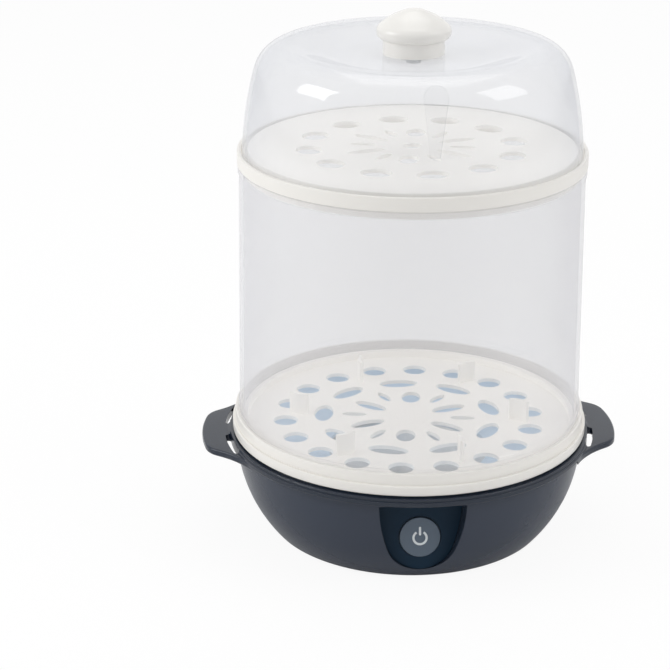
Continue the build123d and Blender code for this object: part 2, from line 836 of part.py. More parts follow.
sensor_screws = screws(
    sensor_post_places,
    sensor_screw_radius,
    bracket_thickness + sensor_height / 2,
    sensor_screw_radius * 2,
    sensor_screw_radius * 1.2,
    sensor_low - bracket_thickness,
)
sensor_screws.part.label = "sensor_screws"
export_step(sensor_screws.part, "parts/sensor_screws.step")

# Bottom cover with its screw cups, vents and the posts of the cord clamp
foot_angles = (foot_angle, 180 - foot_angle, 180 + foot_angle, -foot_angle)
foot_places = [
    (foot_circle * cos(radians(angle)), foot_circle * sin(radians(angle)))
    for angle in foot_angles
]
clamp_posts = [(-clamp_post_x, clamp_y), (clamp_post_x, clamp_y)]
cup_seat = cup_top - cover_thickness
with BuildPart() as bottom_cover:
    with BuildSketch(Plane.XY.offset(foot_drop)):
        Circle(cover_radius - seat_gap)
        with GridLocations(0, vent_pitch, 1, vent_count):
            SlotOverall(vent_length, vent_width, mode=Mode.SUBTRACT)
        with Locations(*foot_places):
            Circle(foot_stem_radius + seat_gap, mode=Mode.SUBTRACT)
    extrude(amount=cover_thickness)
    with BuildSketch(Plane.XY.offset(cover_top)):
        with Locations(*screw_places):
            Circle(screw_cup_radius)
    extrude(amount=screw_cup_height)
    with BuildSketch(Plane.XY.offset(cover_top)):
        with Locations(*clamp_posts):
            Circle(clamp_post_radius)
    extrude(amount=clamp_post_height)
    with BuildSketch(Plane.XY.offset(foot_drop)):
        with Locations(*screw_places):
            Circle(screw_head_radius + slide_gap)
    extrude(amount=cup_seat - foot_drop, mode=Mode.SUBTRACT)
    with BuildSketch(Plane.XY.offset(foot_drop)):
        with Locations(*screw_places):
            Circle(base_screw_radius + seat_gap)
    extrude(amount=cup_top, mode=Mode.SUBTRACT)
    with BuildSketch(Plane.XY.offset(cover_top)):
        with Locations(*clamp_posts):
            Circle(base_screw_radius + hidden_gap)
    extrude(amount=clamp_post_height, mode=Mode.SUBTRACT)
bottom_cover.part.label = "bottom_cover"
export_step(bottom_cover.part, "parts/bottom_cover.step")

base_screws = screws(
    screw_places,
    base_screw_radius,
    base_screw_reach,
    screw_head_radius,
    screw_head_height,
    cup_seat,
)
base_screws.part.label = "base_screws"
export_step(base_screws.part, "parts/base_screws.step")

with BuildPart() as rubber_feet:
    with BuildSketch(Plane.XY):
        with Locations(*foot_places):
            Circle(foot_radius)
    extrude(amount=foot_drop)
    fillet(rubber_feet.edges().filter_by(GeomType.CIRCLE).group_by(Axis.Z)[0], foot_drop / 3)
    with BuildSketch(Plane.XY.offset(foot_drop)):
        with Locations(*foot_places):
            Circle(foot_stem_radius)
    extrude(amount=cover_thickness + foot_drop)
    with BuildSketch(Plane.XY.offset(cover_top + seat_gap)):
        with Locations(*foot_places):
            Circle(foot_stem_radius + 2 * slide_gap)
    extrude(amount=foot_drop - seat_gap)
rubber_feet.part.label = "rubber_feet"
export_step(rubber_feet.part, "parts/rubber_feet.step")

# Mains entry: gland in the back wall, cord clamp and terminal block on the cover
with BuildPart() as cord_gland:
    with BuildSketch(gland_pad):
        Circle(gland_flange_radius)
    extrude(amount=gland_flange_thickness)
    fillet(cord_gland.edges().filter_by(GeomType.CIRCLE).sort_by(Axis.Y)[-1:], gland_flange_thickness / 2.4)
    with BuildSketch(gland_pad):
        Circle(gland_body_radius)
    extrude(amount=-gland_inside)
    with BuildSketch(gland_pad.offset(gland_flange_thickness)):
        Circle(gland_bore_radius)
    extrude(amount=-gland_inside - gland_flange_thickness, mode=Mode.SUBTRACT)
cord_gland.part.label = "cord_gland"
export_step(cord_gland.part, "parts/cord_gland.step")

clamp_low = cover_top + clamp_post_height
with BuildPart() as cord_clamp:
    with BuildSketch(Plane.XY.offset(clamp_low)):
        with Locations((0, clamp_y)):
            SlotCenterToCenter(2 * clamp_post_x, clamp_strip_width)
        with Locations(*clamp_posts):
            Circle(base_screw_radius + seat_gap, mode=Mode.SUBTRACT)
    extrude(amount=clamp_strip_thickness)
    with Locations((0, clamp_y, clamp_low)):
        Cylinder(gland_bore_radius + seat_gap, clamp_strip_width * 2, rotation=(90, 0, 0), mode=Mode.SUBTRACT)
    with BuildSketch(Plane.XZ.offset(-clamp_y - clamp_strip_width / 2)):
        with Locations((0, clamp_low)):
            Circle(gland_bore_radius + clamp_strip_thickness)
            Circle(gland_bore_radius + seat_gap, mode=Mode.SUBTRACT)
            with Locations((0, -gland_pad_radius)):
                Rectangle(4 * gland_pad_radius, 2 * gland_pad_radius, mode=Mode.SUBTRACT)
    extrude(amount=clamp_strip_width)
cord_clamp.part.label = "cord_clamp"
export_step(cord_clamp.part, "parts/cord_clamp.step")

with BuildPart() as cord_clamp_screws:
    clamp_high = clamp_low + clamp_strip_thickness
    with Locations(*[(x, y, clamp_high) for x, y in clamp_posts]):
        Cylinder(
            base_screw_radius,
            clamp_strip_thickness + clamp_post_height / 2,
            align=(Align.CENTER, Align.CENTER, Align.MAX),
        )
        Cylinder(screw_head_radius, screw_head_height, align=(Align.CENTER, Align.CENTER, Align.MIN))
cord_clamp_screws.part.label = "cord_clamp_screws"
export_step(cord_clamp_screws.part, "parts/cord_clamp_screws.step")

with BuildPart() as terminal_block:
    with Locations((0, block_y, cover_top)):
        Box(block_width, block_depth, block_height, align=(Align.CENTER, Align.MIN, Align.MIN))
    with BuildSketch(Plane.XY.offset(cover_top + block_height)):
        with Locations((0, block_y + block_depth / 2)):
            with GridLocations(block_width / 4, 0, 4, 1):
                Circle(2 * base_screw_radius)
    extrude(amount=-block_height / 2, mode=Mode.SUBTRACT)
terminal_block.part.label = "terminal_block"
export_step(terminal_block.part, "parts/terminal_block.step")

# Leads from the element's pins and from the board to the terminal block
pin_low = element_height - element_leg - element_pin_length
heater_lead_z = board_lead_z + 2.5
with BuildPart() as heater_leads:
    for x, y in element_ends:
        with BuildLine() as route:
            FilletPolyline((x, y, pin_low), (x, y, heater_lead_z), (x, block_y, heater_lead_z), radius=lead_bend)
        with BuildSketch(Plane(origin=(x, y, pin_low), z_dir=(0, 0, -1))):
            Circle(lead_radius)
        sweep(path=route.line)
heater_leads.part.label = "heater_leads"
export_step(heater_leads.part, "parts/heater_leads.step")

with BuildPart() as board_leads:
    for x in (-board_lead_x, board_lead_x):
        start = panel_plane(button_height_on_panel - board_post_y, board_back).origin + Vector(x, 0, 0)
        with BuildLine() as route:
            FilletPolyline(
                start,
                start - panel_out * 9,
                Vector(x, start.Y + 22, board_lead_z),
                Vector(x, block_y, board_lead_z),
                radius=lead_bend,
            )
        with BuildSketch(Plane(origin=start, z_dir=-panel_out)):
            Circle(lead_radius)
        sweep(path=route.line)
board_leads.part.label = "board_leads"
export_step(board_leads.part, "parts/board_leads.step")

# Bottle tray: holed plate, stepped rim that carries the cylinder, and six bottle pegs
plate_under = tray_plate_top - tray_plate_thickness
spigot_radius = basin_inner_radius - slide_gap
riser_inner = cylinder_foot_radius - cylinder_wall - tray_ledge_margin - tray_wall
riser_outer = riser_inner + tray_wall
with BuildPart() as bottle_tray:
    revolve(
        half_section([
            (0, plate_under),
            (spigot_radius - tray_wall, plate_under),
            (spigot_radius - tray_wall, plate_under - tray_spigot_depth),
            (spigot_radius, plate_under - tray_spigot_depth),
            (spigot_radius, plate_under),
            (riser_outer, plate_under),
            (riser_outer, tray_ledge - tray_wall),
            (tier_radius - tray_wall, tray_ledge - tray_wall),
            (tier_radius - tray_wall, tier_height - tray_wall),
            (tray_radius - tray_wall, tier_height - tray_wall),
            (tray_radius - tray_wall, seat_top),
            (tray_radius, seat_top),
            (tray_radius, tier_height),
            (tier_radius, tier_height),
            (tier_radius, tray_rim_top),
            (tier_radius - tray_wall, tray_rim_top),
            (tier_radius - tray_wall, tray_ledge),
            (riser_inner, tray_ledge),
            (riser_inner, tray_plate_top),
            (0, tray_plate_top),
        ]),
        axis=Axis.Z,
    )
    rim_edges = bottle_tray.edges().filter_by(GeomType.CIRCLE)
    for radius, height in (
        (tray_radius, seat_top),
        (tray_radius, tier_height),
        (tier_radius, tray_rim_top),
        (tier_radius - tray_wall, tray_rim_top),
        (riser_inner, tray_ledge),
    ):
        fillet(
            rim_edges.filter_by(
                lambda edge: abs(edge.radius - radius) < 0.01 and abs(edge.center().Z - height) < 0.01
            ),
            tray_edge_round,
        )
    with BuildSketch(Plane.XY.offset(plate_under)):
        with PolarLocations(outer_hole_circle, outer_hole_count, tray_turn):
            Circle(outer_hole_radius)
        with PolarLocations(middle_hole_circle, middle_hole_count, tray_turn + 10):
            Ellipse(middle_hole_width / 2, middle_hole_length / 2)
        for number in range(12):
            circle, length, width = petal_sizes(number)
            with PolarLocations(circle, 1, tray_turn + 20 + 30 * number):
                Ellipse(length / 2, width / 2)
    extrude(amount=tray_plate_thickness, mode=Mode.SUBTRACT)
    bow_side = radians(peg_lean + 90)
    bow_centre = (-peg_bow_radius * cos(bow_side), -peg_bow_radius * sin(bow_side))
    peg_arc = CenterArc(bow_centre, peg_bow_radius, peg_lean + 90 - peg_sweep / 2, peg_sweep)
    with BuildSketch(Plane.XY.offset(tray_plate_top)):
        with PolarLocations(peg_circle, peg_count, peg_turn):
            SlotArc(peg_arc, peg_wall)
    extrude(amount=peg_height)
    peg_tops = bottle_tray.faces().filter_by(Plane.XY).group_by(Axis.Z)[-1]
    fillet(peg_tops.edges(), peg_edge)
bottle_tray.part.label = "bottle_tray"
export_step(bottle_tray.part, "parts/bottle_tray.step")

# Steam cylinder, a slightly tapered wall with a bead at each end
bead_low = cylinder_top - cylinder_top_bead_drop - cylinder_top_bead_height
foot_bead_low = tray_rim_top + cylinder_foot_bead_rise
foot_bead_top = foot_bead_low + cylinder_foot_bead_height
taper_rate = cylinder_draw_in / cylinder_height


def wall_radius(height):
    """Outer radius of the tapered wall at a height."""
    return cylinder_foot_radius - taper_rate * (height - tray_ledge)


with BuildPart() as steam_cylinder:
    revolve(
        half_section([
            (cylinder_foot_radius - cylinder_wall, tray_ledge),
            (cylinder_foot_radius, tray_ledge),
            (wall_radius(foot_bead_low), foot_bead_low),
            (wall_radius(foot_bead_low) + cylinder_foot_bead, foot_bead_low + cylinder_foot_bead),
            (wall_radius(foot_bead_low) + cylinder_foot_bead, foot_bead_top - cylinder_foot_bead),
            (wall_radius(foot_bead_top), foot_bead_top),
            (wall_radius(bead_low - cylinder_top_bead), bead_low - cylinder_top_bead),
            (cylinder_top_radius + cylinder_top_bead, bead_low),
            (cylinder_top_radius + cylinder_top_bead, bead_low + cylinder_top_bead_height),
            (cylinder_top_radius, bead_low + cylinder_top_bead_height),
            (cylinder_top_radius, cylinder_top),
            (cylinder_top_radius - cylinder_wall, cylinder_top),
        ]),
        axis=Axis.Z,
    )
steam_cylinder.part.label = "steam_cylinder"
export_step(steam_cylinder.part, "parts/steam_cylinder.step")

# Upper tray: raised holed plate inside a rim that carries the lid
channel_low = dome_foot - upper_channel_thickness
upper_spigot = cylinder_top_radius - cylinder_wall - slide_gap
upper_rim_top = cylinder_top + upper_rim_height
with BuildPart() as upper_tray:
    revolve(
        half_section([
            (0, upper_plate_top - upper_plate_thickness),
            (upper_plate_radius - upper_wall, upper_plate_top - upper_plate_thickness),
            (upper_plate_radius - upper_wall, channel_low),
            (upper_spigot - upper_wall, channel_low),
            (upper_spigot - upper_wall, cylinder_top - upper_spigot_depth),
            (upper_spigot, cylinder_top - upper_spigot_depth),
            (upper_spigot, channel_low),
            (upper_inner_radius, channel_low),
            (upper_inner_radius, cylinder_top),
            (upper_radius, cylinder_top),
            (upper_radius, upper_rim_top),
            (upper_inner_radius, upper_rim_top),
            (upper_inner_radius, dome_foot),
            (upper_plate_radius, dome_foot),
            (upper_plate_radius, upper_plate_top),
            (0, upper_plate_top),
        ]),
        axis=Axis.Z,
    )
    upper_edges = upper_tray.edges().filter_by(GeomType.CIRCLE)
    for radius, height in (
        (upper_radius, cylinder_top),
        (upper_radius, upper_rim_top),
        (upper_inner_radius, upper_rim_top),
        (upper_plate_radius, upper_plate_top),
    ):
        fillet(
            upper_edges.filter_by(
                lambda edge: abs(edge.radius - radius) < 0.01 and abs(edge.center().Z - height) < 0.01
            ),
            tray_edge_round,
        )
    with BuildSketch(Plane.XY.offset(upper_plate_top - upper_plate_thickness)):
        with PolarLocations(upper_hole_circle, upper_hole_count, upper_turn):
            Ellipse(upper_hole_width / 2, upper_hole_length / 2)
        for number in range(12):
            length, width = petal_sizes(number)[1:]
            if number % 6 in (0, 4):
                length, width = upper_petal_length, upper_petal_width
            with PolarLocations(upper_petal_circle, 1, upper_turn + 15 + 30 * number):
                Ellipse(length / 2, width / 2)
        Circle(thin_petal_width)
    extrude(amount=upper_plate_thickness, mode=Mode.SUBTRACT)
upper_tray.part.label = "upper_tray"
export_step(upper_tray.part, "parts/upper_tray.step")

# Clear lift tab that stands on the upper tray
with BuildPart() as lift_tab:
    with BuildSketch(Plane.XZ.offset(-tab_y - tab_thickness / 2)):
        with BuildLine():
            neck = tab_height - tab_top_width / 2
            tab_foot = upper_plate_top
            left_foot = (tab_x - tab_foot_width / 2, tab_foot)
            right_foot = (tab_x + tab_foot_width / 2, tab_foot)
            left_neck = (tab_x - tab_top_width / 2, tab_foot + neck)
            right_neck = (tab_x + tab_top_width / 2, tab_foot + neck)
            Polyline(left_neck, left_foot, right_foot, right_neck)
            ThreePointArc(right_neck, (tab_x, tab_foot + tab_height), left_neck)
        make_face()
    extrude(amount=tab_thickness)
lift_tab.part.label = "lift_tab"
export_step(lift_tab.part, "parts/lift_tab.step")


def dome_section(shift):
    """Half section of the lid's solid, its skin moved inwards by shift."""
    crown = dome_foot + dome_height - shift
    dish = dish_top - shift
    with BuildSketch(Plane.XZ) as section:
        with BuildLine():
            wall = ThreePointArc(
                (dome_foot_radius - shift, dome_foot),
                (dome_belly_radius - shift, dome_foot + dome_belly_height),
                (dome_shoulder_radius - shift, dome_foot + dome_shoulder_height),
            )
            shoulder = TangentArc((wall @ 1, (dome_crown_radius, crown)), tangent=wall % 1)
            slope = Spline(
                (dome_crown_radius, crown),
                (dome_dish_radius, dish),
                tangents=(shoulder % 1, (-1, 0)),
                tangent_scalars=(0.6, 0.9),
            )
            Polyline(slope @ 1, (0, dish), (0, dome_foot), wall @ 0)
        make_face()
    return section.sketch


# Dome lid with its sunk crown
with BuildPart() as dome_lid:
    revolve(dome_section(0), axis=Axis.Z)
    revolve(dome_section(dome_wall), axis=Axis.Z, mode=Mode.SUBTRACT)
    with BuildSketch(Plane.XY.offset(dish_top)):
        Circle(knob_screw_radius + slide_gap)
    extrude(amount=-dome_wall, mode=Mode.SUBTRACT)
dome_lid.part.label = "dome_lid"
export_step(dome_lid.part, "parts/dome_lid.step")


def knob_curve(inset):
    """Points of the knob's crown from its widest line to its top, drawn in by inset."""
    crown_rise = knob_height - knob_waist_height
    power = 1.6
    points = []
    for step in (0, 0.367, 0.647, 0.87):
        radius = (knob_radius - inset) * (1 - step**power) ** (1 / power)
        points.append((radius, dish_top + knob_waist_height + step * (crown_rise - inset)))
    points.append((0, dish_top + knob_height - inset))
    return points


def knob_section(inset):
    """Half section of the mushroom knob, or of its hollow."""
    low = dish_top
    with BuildSketch(Plane.XZ) as section:
        with BuildLine():
            crown = Spline(*knob_curve(inset), tangents=((0, 1), (-1, 0)))
            if inset:
                Polyline(
                    crown @ 1,
                    (0, low),
                    (knob_stem_radius - inset, low),
                    (knob_stem_radius - inset, low + knob_stem_height + inset),
                    crown @ 0,
                )
            else:
                brim = TangentArc(
                    (crown @ 0, (knob_radius - 2, low + knob_stem_height)),
                    tangent=(0, -1),
                )
                Polyline(
                    brim @ 1,
                    (knob_stem_radius, low + knob_stem_height),
                    (knob_stem_radius, low),
                    (0, low),
                    crown @ 1,
                )
        make_face()
    return section.sketch


# Mushroom knob: hollow, with a screw post in its middle
with BuildPart() as lid_knob:
    revolve(knob_section(0), axis=Axis.Z)
    revolve(knob_section(knob_wall), axis=Axis.Z, mode=Mode.SUBTRACT)
    with BuildSketch(Plane.XY.offset(dish_top)):
        Circle(knob_post_radius)
    extrude(amount=knob_height - knob_wall / 2)
    with BuildSketch(Plane.XY.offset(dish_top)):
        Circle(knob_screw_radius + hidden_gap / 2)
    extrude(amount=knob_screw_length, mode=Mode.SUBTRACT)
lid_knob.part.label = "lid_knob"
export_step(lid_knob.part, "parts/lid_knob.step")

washer_top = dish_top - dome_wall
with BuildPart() as knob_washer:
    revolve(
        ring_section(
            knob_screw_radius + slide_gap,
            knob_washer_radius,
            washer_top - knob_washer_thickness,
            washer_top,
        ),
        axis=Axis.Z,
    )
knob_washer.part.label = "knob_washer"
export_step(knob_washer.part, "parts/knob_washer.step")

knob_screw = screws(
    [(0, 0)],
    knob_screw_radius,
    knob_screw_length - dome_wall,
    knob_screw_head_radius,
    knob_screw_head_height,
    washer_top - knob_washer_thickness,
)
knob_screw.part.label = "knob_screw"
export_step(knob_screw.part, "parts/knob_screw.step")
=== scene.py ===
import math

import bpy
from bpy.props import FloatProperty, FloatVectorProperty, PointerProperty
from mathutils import Color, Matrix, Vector


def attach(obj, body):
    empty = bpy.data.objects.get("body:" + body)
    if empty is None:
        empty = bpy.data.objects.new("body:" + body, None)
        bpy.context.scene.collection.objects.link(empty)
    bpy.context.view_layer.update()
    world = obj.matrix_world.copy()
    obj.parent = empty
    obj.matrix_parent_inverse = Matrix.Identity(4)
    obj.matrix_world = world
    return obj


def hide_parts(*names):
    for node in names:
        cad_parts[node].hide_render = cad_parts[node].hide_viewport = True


bl_info = {
    "name": "Bottle steam sterilizer",
    "version": (1, 0, 0),
    "blender": (4, 5, 0),
    "location": "View3D > Sidebar > Sterilizer",
    "description": "Dresses the packed solids of a two-storey steam sterilizer and lights them",
    "category": "Object",
}

MILLIMETRE = 0.001
WELD = 0.002 * MILLIMETRE
SMOOTH_ANGLE = math.radians(32.0)
FOOT_GAP = 0.2 * MILLIMETRE
# Radii of the trays' middles: within them the trays get a painted glow, outside them they are painted
# darker.
BOTTLE_TRAY_INSIDE = 108.6 * MILLIMETRE
UPPER_TRAY_INSIDE = 105.0 * MILLIMETRE
UPPER_TRAY_PAINTED_GLOW = 0.6
CLOUD_SCALE = 16.0
CLOUD_DETAIL = 3.0
GLOSS_SWING = 0.12
WALL_MOTTLING = 0.025
FINE_GRAIN = 2600.0
GRAIN_DEPTH = 0.02 * MILLIMETRE
FLOOR_WHITENESS = 0.92
BLACK = (0.0, 0.0, 0.0, 1.0)
WHITE = (1.0, 1.0, 1.0, 1.0)
LIGHTS_AIM = (0.0, 0.0, 0.16)

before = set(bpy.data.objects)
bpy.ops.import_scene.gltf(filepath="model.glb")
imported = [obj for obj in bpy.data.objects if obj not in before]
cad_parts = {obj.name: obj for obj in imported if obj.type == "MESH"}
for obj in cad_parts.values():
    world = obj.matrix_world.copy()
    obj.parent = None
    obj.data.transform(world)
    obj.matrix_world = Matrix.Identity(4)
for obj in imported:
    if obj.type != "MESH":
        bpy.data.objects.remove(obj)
bpy.ops.object.select_all(action="DESELECT")
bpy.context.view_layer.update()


def tone(name, description, value):
    """Colour property, written as it looks on a screen."""
    return FloatVectorProperty(
        name=name, description=description, subtype="COLOR_GAMMA", size=3, min=0.0, max=1.0, default=value
    )


def length(name, description, value):
    """Length property in metres."""
    return FloatProperty(
        name=name, description=description, subtype="DISTANCE", unit="LENGTH", default=value
    )


def share(name, description, value):
    """Property that runs from nothing to all."""
    return FloatProperty(
        name=name, description=description, subtype="FACTOR", min=0.0, max=1.0, default=value
    )


def turn(name, description, value):
    """Angle property, with its default given in degrees."""
    return FloatProperty(
        name=name, description=description, subtype="ANGLE", unit="ROTATION", default=math.radians(value)
    )


class SterilizerColours(bpy.types.PropertyGroup):
    """Colours of the plastics and metals."""

    shell: tone("Shell", "Navy plastic of the bowl", (0.185, 0.215, 0.270))
    collar: tone("Collar", "Navy plastic of the collar and its handles", (0.120, 0.155, 0.210))
    panel: tone("Panel", "Dark plate round the button", (0.060, 0.160, 0.235))
    button: tone("Button", "Push button", (0.345, 0.400, 0.460))
    symbol: tone("Symbol", "Inlay on the button", (0.900, 0.920, 0.930))
    tray: tone("Trays", "Warm white plastic of both trays", (0.975, 0.965, 0.945))
    knob: tone("Knob", "White plastic of the lid's knob", (0.925, 0.918, 0.902))
    frosted: tone("Cylinder", "Milky plastic of the steam cylinder", (0.865, 0.865, 0.885))
    clear: tone("Lid", "Clear plastic of the lid", (0.865, 0.874, 0.900))
    basin: tone("Basin", "Plastic of the water basin", (0.800, 0.890, 0.970))
    steel: tone("Steel", "Heating plate and sheet parts", (0.880, 0.885, 0.890))


class SterilizerFinish(bpy.types.PropertyGroup):
    """Gloss and haze of the plastics, and the painted glow of the trays."""

    shell_roughness: share("Shell roughness", "Roughness of the navy plastic", 0.25)
    tray_roughness: share("Tray roughness", "Roughness of the white plastic", 0.34)
    # Painted glow: emission on the trays that stands for light coming through the white plastic.
    tray_painted_glow: share("Tray glow", "Light that comes through the white plastic", 0.13)
    cylinder_haze: share("Cylinder haze", "Share of light that one face of the cylinder scatters", 0.20)
    lid_haze: share("Lid haze", "Share of light that one face of the lid scatters", 0.15)
    rim_haze: share("Edge haze", "Share of light that a clear wall scatters where it is seen edge-on", 0.62)


class SterilizerStage(bpy.types.PropertyGroup):
    """Camera and lights."""

    lens: FloatProperty(name="Lens", description="Focal length on a 36 mm sensor", default=103.64)
    camera_x: length("Camera X", "Camera's place to the side", -0.1027)
    camera_y: length("Camera Y", "Camera's place in front", -1.1351)
    camera_z: length("Camera height", "Camera's height above the table", 0.5653)
    camera_tilt: turn("Camera tilt", "Angle that the camera looks down", 21.08)
    camera_heading: turn("Camera heading", "Angle that the camera turns to the right", 2.8)
    floor_size: length("Floor", "Side of the pale floor", 14.0)
    key_power: FloatProperty(name="Key light", description="Power of the light at the left", default=16.0)
    fill_power: FloatProperty(name="Fill light", description="Power of the light at the right", default=9.0)
    top_power: FloatProperty(name="Top light", description="Power of the light overhead", default=8.0)
    sky: FloatProperty(name="Sky", description="Strength of the light from all round", default=0.58)


class Socket:
    """A value in a node tree that Python arithmetic can combine."""

    def __init__(self, nodes, output):
        self.nodes = nodes
        self.output = output

    def maths(self, operation, first, second):
        return self.nodes.node("ShaderNodeMath", {"operation": operation}, {0: first, 1: second})

    def __add__(self, other):
        return self.maths("ADD", self, other)

    __radd__ = __add__

    def __mul__(self, other):
        return self.maths("MULTIPLY", self, other)

    __rmul__ = __mul__

    def __sub__(self, other):
        return self.maths("SUBTRACT", self, other)

    def __rsub__(self, other):
        return self.maths("SUBTRACT", other, self)

    def __pow__(self, other):
        return self.maths("POWER", self, other)

    def __rpow__(self, other):
        return self.maths("POWER", other, self)

    def __lt__(self, other):
        return self.maths("LESS_THAN", self, other)

    def __gt__(self, other):
        return self.maths("GREATER_THAN", self, other)


class Nodes:
    """Node tree of a material or of the world."""

    def __init__(self, owner):
        owner.use_nodes = True
        self.tree = owner.node_tree
        self.tree.nodes.clear()

    def put(self, target, sockets):
        """Gives a node's sockets their values or links."""
        for key, value in sockets.items():
            if isinstance(value, Socket):
                self.tree.links.new(value.output, target.inputs[key])
            else:
                target.inputs[key].default_value = value

    def node(self, kind, settings=None, sockets=None, output=0):
        """Adds a node. Its settings are made first, then its sockets get their values or links."""
        made = self.tree.nodes.new(kind)
        for key, value in (settings or {}).items():
            setattr(made, key, value)
        self.put(made, sockets or {})
        return Socket(self, made.outputs[output])


class Shader(Nodes):
    """Node tree of one material, round a Principled surface."""

    def __init__(self, name):
        self.material = bpy.data.materials.new(name)
        super().__init__(self.material)
        self.surface = self.tree.nodes.new("ShaderNodeBsdfPrincipled")
        self.result = self.tree.nodes.new("ShaderNodeOutputMaterial")
        self.tree.links.new(self.surface.outputs["BSDF"], self.result.inputs["Surface"])
        self.place = self.node("ShaderNodeTexCoord", output="Object")

    def noise(self, scale, detail=2.0):
        """Cloudy value from 0 to 1, with scale in bumps per metre."""
        sockets = {"Vector": self.place, "Scale": scale, "Detail": detail}
        return self.node("ShaderNodeTexNoise", sockets=sockets, output="Fac")

    def blend(self, factor, first, second):
        """Colour between two colours."""
        return self.node(
            "ShaderNodeMix", {"data_type": "RGBA"}, {"Factor": factor, 6: first, 7: second}, output=2
        )

    def relief(self, height, distance, strength):
        """Normal that follows a height."""
        return self.node(
            "ShaderNodeBump", sockets={"Height": height, "Distance": distance, "Strength": strength}
        )

    def finish(self, **sockets):
        """Sets the surface's sockets, with spaces in their names written as underscores."""
        self.put(self.surface, {key.replace("_", " "): value for key, value in sockets.items()})
        return self.material


def linear(colour, factor=1.0):
    """Screen colour as a shader colour, made lighter or darker by factor."""
    made = Color(colour).from_srgb_to_scene_linear()
    return (*(min(1.0, part * factor) for part in made), 1.0)


def moulded(
    name, colour, roughness, grain=FINE_GRAIN, depth=GRAIN_DEPTH, mottling=0.05, specular=0.5, glow=0.0
):
    """Injection-moulded plastic: faintly cloudy, with a fine grain and a slightly uneven gloss.

    Its glow is painted light: a glow of its own, which stands for light that comes through the plastic."""
    shader = Shader(name)
    cloud = shader.noise(CLOUD_SCALE, CLOUD_DETAIL)
    return shader.finish(
        Base_Color=shader.blend(cloud, linear(colour, 1 - mottling), linear(colour, 1 + mottling)),
        Roughness=(cloud - 0.5) * GLOSS_SWING + roughness,
        Normal=shader.relief(shader.noise(grain), depth, 0.5),
        Specular_IOR_Level=specular,
        # Painted glow: emission that stands for light coming through the plastic.
        Emission_Color=linear(colour, glow),
        Emission_Strength=1.0,
    )


def tray_finish(name, colour, roughness, reach, glow):
    """White tray plastic with painted light. What lies within reach of its middle gets a painted glow of
    its own, which stands for the light that the real plastics round it scatter onto it and through it, and
    the plastic outside that reach is painted a tenth darker, as painted shade."""
    shader = Shader(name)
    cloud = shader.noise(CLOUD_SCALE, CLOUD_DETAIL)
    flat = shader.node("ShaderNodeMapping", sockets={"Vector": shader.place, "Scale": (1.0, 1.0, 0.0)})
    radius = shader.node("ShaderNodeVectorMath", {"operation": "LENGTH"}, {0: flat}, output="Value")
    painted_light_zone = radius < reach
    # Painted shade: outside the reach the plastic is painted a tenth darker than in the middle.
    white = shader.blend(painted_light_zone, linear(colour, 0.90), linear(colour))
    return shader.finish(
        Base_Color=shader.blend(cloud * 0.05, white, linear(colour, 0.75)),
        Roughness=(cloud - 0.5) * GLOSS_SWING + roughness,
        Normal=shader.relief(shader.noise(FINE_GRAIN), GRAIN_DEPTH, 0.5),
        # Painted glow: only the plastic within reach glows, standing for light scattered onto it and
        # through it.
        Emission_Color=shader.blend(painted_light_zone, BLACK, linear(colour, glow)),
        Emission_Strength=1.0,
    )


def milky(name, colour, haze, rim, roughness):
    """See-through plastic: it scatters a little where it is seen straight on and much more edge-on."""
    shader = Shader(name)
    cloud = shader.noise(9.0)
    edge = shader.node("ShaderNodeLayerWeight", sockets={"Blend": 0.5}, output="Facing")
    return shader.finish(
        Base_Color=shader.blend(
            cloud, linear(colour, 1 - WALL_MOTTLING), linear(colour, 1 + WALL_MOTTLING)
        ),
        Roughness=(cloud - 0.5) * 0.06 + roughness,
        Alpha=(edge**3.0) * (rim - haze) + haze + (cloud - 0.5) * 0.02,
        Normal=shader.relief(shader.noise(34.0, 1.0), 0.0004, 0.15),
        IOR=1.9,
        Specular_IOR_Level=0.9,
    )


def metal(name, colour, roughness, scale=900.0):
    """Bare metal with fine scratches and stains."""
    shader = Shader(name)
    stain = shader.noise(40.0, 4.0)
    scratch = shader.noise(scale)
    return shader.finish(
        Base_Color=shader.blend(stain, linear(colour, 0.85), linear(colour, 1.05)),
        Metallic=1.0,
        Roughness=(scratch - 0.5) * 0.3 + roughness,
        Normal=shader.relief(scratch, 0.00001, 0.4),
    )


def spun_metal(name, colour, roughness):
    """Sheet metal with fine rings round its middle, as spinning leaves them."""
    shader = Shader(name)
    rings = shader.node(
        "ShaderNodeTexWave",
        {"wave_type": "RINGS", "rings_direction": "Z"},
        {"Vector": shader.place, "Scale": 420.0, "Distortion": 0.6, "Detail": 2.0},
        output="Fac",
    )
    stain = shader.noise(30.0, 4.0)
    return shader.finish(
        Base_Color=shader.blend(stain, linear(colour, 0.86), linear(colour, 1.04)),
        Metallic=1.0,
        Roughness=rings * 0.12 + roughness,
        Normal=shader.relief(rings, 0.00001, 0.5),
    )


def board_finish(name, colour):
    """Circuit board: solder mask over copper tracks."""
    shader = Shader(name)
    tracks = shader.node(
        "ShaderNodeTexBrick",
        {"offset": 0.5},
        {"Vector": shader.place, "Scale": 260.0, "Mortar Size": 0.08},
        output="Fac",
    )
    return shader.finish(
        Base_Color=shader.blend(tracks, linear(colour, 1.25), linear(colour, 0.8)),
        Roughness=tracks * 0.1 + 0.3,
        Normal=shader.relief(tracks, 0.00002, 0.4),
    )


def alone(piece):
    """Makes a piece the only one that is selected, and the active one."""
    bpy.ops.object.select_all(action="DESELECT")
    piece.select_set(True)
    bpy.context.view_layer.objects.active = piece


